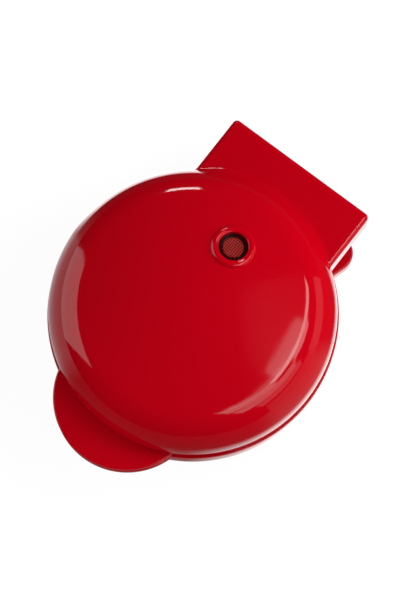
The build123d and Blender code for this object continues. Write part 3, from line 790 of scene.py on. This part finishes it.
# Two short facets round the foot of a stud, and two round its tip.
half_foot, half_tip = stud_base / 2, stud_tip / 2
stud_outline = [(0, -stud_sunk), (half_foot + stud_flare, -stud_sunk),
                (half_foot + stud_flare, 0.02), (half_foot + 0.12, 0.14),
                (half_foot - 0.12, stud_round), (half_tip + 0.14, stud_height - stud_round),
                (half_tip - 0.08, stud_height - 0.13), (half_tip - stud_round, stud_height),
                (0, stud_height)]
stud = bmesh.new()
line = [stud.verts.new((half, half, height)) for half, height in stud_outline]
edges = [stud.edges.new(pair) for pair in zip(line, line[1:])]
bmesh.ops.spin(stud, geom=line + edges, axis=(0, 0, 1), cent=(0, 0, 0), angle=2 * pi, steps=4,
               use_merge=True)
bmesh.ops.remove_doubles(stud, verts=stud.verts, dist=1e-4)
bmesh.ops.recalc_face_normals(stud, faces=stud.faces)
upright = [e for e in stud.edges if abs(abs(e.verts[0].co.x) - abs(e.verts[0].co.y)) < 1e-3
           and abs(e.verts[0].co.z - e.verts[1].co.z) > 1e-3]
bmesh.ops.bevel(stud, geom=upright, offset=stud_corner, segments=3, affect="EDGES",
                profile=0.5, material=-1)

studs = bmesh.new()
reach = int(stud_field / stud_pitch)
for column in range(-reach, reach + 1):
    for row in range(-reach, reach + 1):
        x, y = column * stud_pitch, row * stud_pitch
        near_side = hypot(max(abs(x) - half_foot, 0), max(abs(y) - half_foot, 0))
        if near_side >= stud_field - least_stud:
            continue
        one = stud.copy()
        bmesh.ops.translate(one, vec=(x, y, plate_floor), verts=one.verts)
        if hypot(abs(x) + half_foot, abs(y) + half_foot) > stud_field:
            for i in range(-3, 4):
                turn = atan2(y, x) + i * cut_step
                outwards = Vector((cos(turn), sin(turn), 0))
                cut = bmesh.ops.bisect_plane(one, geom=[*one.verts, *one.edges, *one.faces],
                                             plane_co=outwards * stud_field, plane_no=outwards,
                                             clear_outer=True)
                rim = [e for e in cut["geom_cut"] if isinstance(e, bmesh.types.BMEdge)]
                if rim:
                    bmesh.ops.holes_fill(one, edges=rim, sides=0)
        bmesh.ops.dissolve_degenerate(one, dist=0.02, edges=one.edges)
        scrap = bpy.data.meshes.new("scrap")
        one.to_mesh(scrap)
        studs.from_mesh(scrap)
        one.free()
        bpy.data.meshes.remove(scrap)
bmesh.ops.create_circle(studs, cap_ends=True, radius=floor_radius + floor_lap, segments=180,
                        matrix=Matrix.Translation((0, 0, plate_floor)))
bmesh.ops.recalc_face_normals(studs, faces=studs.faces)

nonstick = uneven("nonstick_coat", (0.03, 0.03, 0.031), (0.055, 0.053, 0.054), 0.0, 0.26, 0.45,
                  (60.0, 60.0, 60.0), 0.22)
for side, up, node, body in (("lower", 1, "lower_plate", "base"),
                             ("upper", -1, "upper_plate", "lid")):
    casting = copied(node)
    inner = []
    for face in casting.faces:
        centre = face.calc_center_median()
        rise = up * (centre.z - seam) + seam - plate_floor
        among_studs = -edge_gap < rise < stud_height + face_gap
        if among_studs and hypot(centre.x, centre.y) < floor_radius - edge_gap:
            inner.append(face)
    bmesh.ops.delete(casting, geom=inner, context="FACES")
    dressed(side + "_casting", casting, nonstick, body, "nonstick", node, sharp=24)
    field = studs.copy()
    if side == "upper":
        field.transform(Matrix.Translation((0, 0, 2 * seam)) @ Matrix.Diagonal((1, 1, -1, 1)))
        bmesh.ops.reverse_faces(field, faces=field.faces)
    dressed(side + "_studs", field, nonstick, body, "nonstick", node, sharp=50)


# Below the lower plate and above the upper one lie a sheathed ring heater and a
# pressed sheet reflector. Zinc-plated screws and hex spacers hold them.
sheath = uneven("heater_sheath", (0.2, 0.185, 0.17), (0.11, 0.1, 0.1), 0.85, 0.35, 0.55,
                (45.0, 45.0, 45.0), 0.15)
sheet = uneven("pressed_sheet", (0.78, 0.78, 0.79), (0.66, 0.66, 0.67), 1.0, 0.22, 0.4,
               (20.0, 400.0, 20.0), 0.05)
zinc = uneven("zinc_plate", (0.66, 0.66, 0.65), (0.55, 0.55, 0.57), 1.0, 0.22, 0.42,
              (150.0, 150.0, 150.0), 0.05)
coated(sheath, "lower_heater", "upper_heater")
coated(sheet, "lower_reflector", "upper_reflector")
coated(zinc, "lower_plate_screws", "upper_plate_screws", "lower_reflector_screws",
       "upper_reflector_screws", "housing_screws", "hinge_pin_left", "hinge_pin_right")


# Four soft rubber feet stand in pockets of the base. Each has a rounded edge and a
# dished sole, moulded in one.
rubber = uneven("foot_rubber", (0.02, 0.02, 0.02), (0.034, 0.033, 0.032), 0.0, 0.6, 0.85,
                (120.0, 120.0, 120.0), 0.3)
foot_radius, foot_edge, foot_tall = 6.5, 0.9, 5.2
foot_outline = ([(0, 0.7), (2.6, 0.6), (3.6, 0.25), (4.2, 0.0), (5.5, 0.0)]
                + arc((foot_radius - foot_edge, foot_edge), foot_edge, 275, 360, 6)
                + [(foot_radius, foot_tall), (0, foot_tall)])
for end, aside, y in (("front", 25.0, -27.0), ("rear", 28.5, 63.4)):
    for side, x in (("left", -aside), ("right", aside)):
        name = "foot_" + end + "_" + side
        foot = ring_about(Matrix.Translation((x, y, 0)), foot_outline, 64)
        dressed(name + "_rubber", foot, rubber, "base", "rubber", name)


# The mains lead enters through a bushing of matt black plastic, which is pressed
# into the pad at the back.
black_matt = uneven("black_matt", (0.016, 0.016, 0.017), (0.028, 0.028, 0.03), 0.0, 0.38, 0.55,
                    (200.0, 200.0, 200.0), 0.15)
coated(black_matt, "cord_gland")


# Inside are a thermostat disc, a thermal fuse, a heat-proof terminal block and the
# leads, which run in woven glass-fibre sleeves.
white_moulding = uneven("white_moulding", (0.78, 0.76, 0.71), (0.7, 0.67, 0.61), 0.0, 0.4, 0.6)
coated(zinc, "thermostat", "thermal_fuse")
block_length, block_depth, block_height = 20.0, 9.0, 8.0
block_low, block_rear = 6.5, 44.0
block_round = 0.5
well_wall, well_draft, well_depth, least_well = 1.6, 0.1, 2.0, 20.0
terminals = bmesh.new()
bmesh.ops.create_cube(terminals, size=1,
                      matrix=Matrix.Diagonal((block_length, block_depth, block_height, 1)))
bmesh.ops.translate(terminals, vec=(0, block_rear - block_depth / 2, block_low + block_height / 2),
                    verts=terminals.verts)
bmesh.ops.bevel(terminals, geom=terminals.edges[:], offset=block_round, segments=2,
                affect="EDGES", profile=0.5, material=-1)
bmesh.ops.bisect_plane(terminals, geom=[*terminals.verts, *terminals.edges, *terminals.faces],
                       plane_co=(0, 0, 0), plane_no=(1, 0, 0))
wells = [f for f in terminals.faces if f.normal.z > 0.9 and f.calc_area() > least_well]
bmesh.ops.inset_individual(terminals, faces=wells, thickness=well_wall)
bmesh.ops.inset_individual(terminals, faces=wells, thickness=well_draft, depth=-well_depth)
dressed("terminals", terminals, white_moulding, "base", "white_plastic", "terminal_block")
woven = uneven("woven_sleeve", (0.82, 0.8, 0.74), (0.68, 0.66, 0.6), 0.0, 0.75, 0.95,
               (400.0, 400.0, 400.0), 0.6)
hinge_back, hinge_height = 70.2, 44.342
sleeve_aside, sleeve_radius, sleeve_front = 8.0, 2.0, 55.3
sleeve_bend, longest_bend = 6.0, 0.45
sleeve_foot, sleeve_lift = 32.9, 2.0
sleeve_end_back, sleeve_end_height = 48.4, 55.64
end_gap = 0.15


def lead(name, radius, bend, body, replaced, *stops):
    """Round flexible lead that turns softly near its stops, within a share of each run."""
    stops = [Vector(stop) for stop in stops]
    path = [stops[0]]
    for before, corner, after in zip(stops, stops[1:], stops[2:]):
        for side in (before, after):
            run = side - corner
            path.append(corner + run.normalized() * min(bend, run.length * longest_bend))
        path.insert(-1, corner)
    path.append(stops[-1])
    curve = bpy.data.curves.new(name, "CURVE")
    curve.dimensions = "3D"
    curve.bevel_depth = radius
    curve.bevel_resolution = 6
    curve.use_fill_caps = True
    line = curve.splines.new("NURBS")
    line.points.add(len(path) - 1)
    for point, place in zip(line.points, path):
        point.co = (*place, 1)
    line.order_u = 3
    line.use_endpoint_u = True
    line.resolution_u = 10
    drawn = bpy.data.objects.new(name, curve)
    shape = bmesh.new()
    shape.from_mesh(bpy.data.meshes.new_from_object(drawn))
    bpy.data.objects.remove(drawn)
    bmesh.ops.remove_doubles(shape, verts=shape.verts, dist=1e-4)
    bmesh.ops.recalc_face_normals(shape, faces=shape.faces)
    dressed(name, shape, woven, body, "sleeve", replaced, sharp=60)


lead("sleeve_in_base", sleeve_radius, sleeve_bend, "base", "wire_sleeve_base",
     (-end_gap, hinge_back, hinge_height), (-sleeve_aside, hinge_back, hinge_height),
     (-sleeve_aside, sleeve_front, hinge_height), (-sleeve_aside, sleeve_front, sleeve_foot))
lead("sleeve_in_lid", sleeve_radius, sleeve_bend, "lid", "wire_sleeve_lid",
     (end_gap, hinge_back, hinge_height), (sleeve_aside, hinge_back, hinge_height),
     (sleeve_aside, sleeve_front, hinge_height + sleeve_lift),
     (sleeve_aside, sleeve_end_back, sleeve_end_height))

# Two short sleeved leads run from the heater's cold pins to the terminal block.
lead_radius, lead_bend = 1.0, 3.0
pin_aside, pin_back, pin_height, pin_foot = 9.95, 31.46, 19.44, 15.54
well_aside, well_back, above_well, in_well = 5.0, 35.8, 17.9, 14.6
for name, side in (("heater_lead_left", -1), ("heater_lead_right", 1)):
    lead(name, lead_radius, lead_bend, "base", "base_wires",
         (side * pin_aside, pin_back, pin_height), (side * pin_aside, pin_back, pin_foot),
         (side * well_aside, well_back, above_well), (side * well_aside, well_back, in_well))

# The neon bulb behind the lens is a small glass tube with a warm tint.
bulb_glass, shader, tree = new_material("bulb_glass")
shader.inputs["Base Color"].default_value = (1.0, 0.86, 0.74, 1)
shader.inputs["Transmission Weight"].default_value = 0.9
coated(bulb_glass, "indicator_bulb")
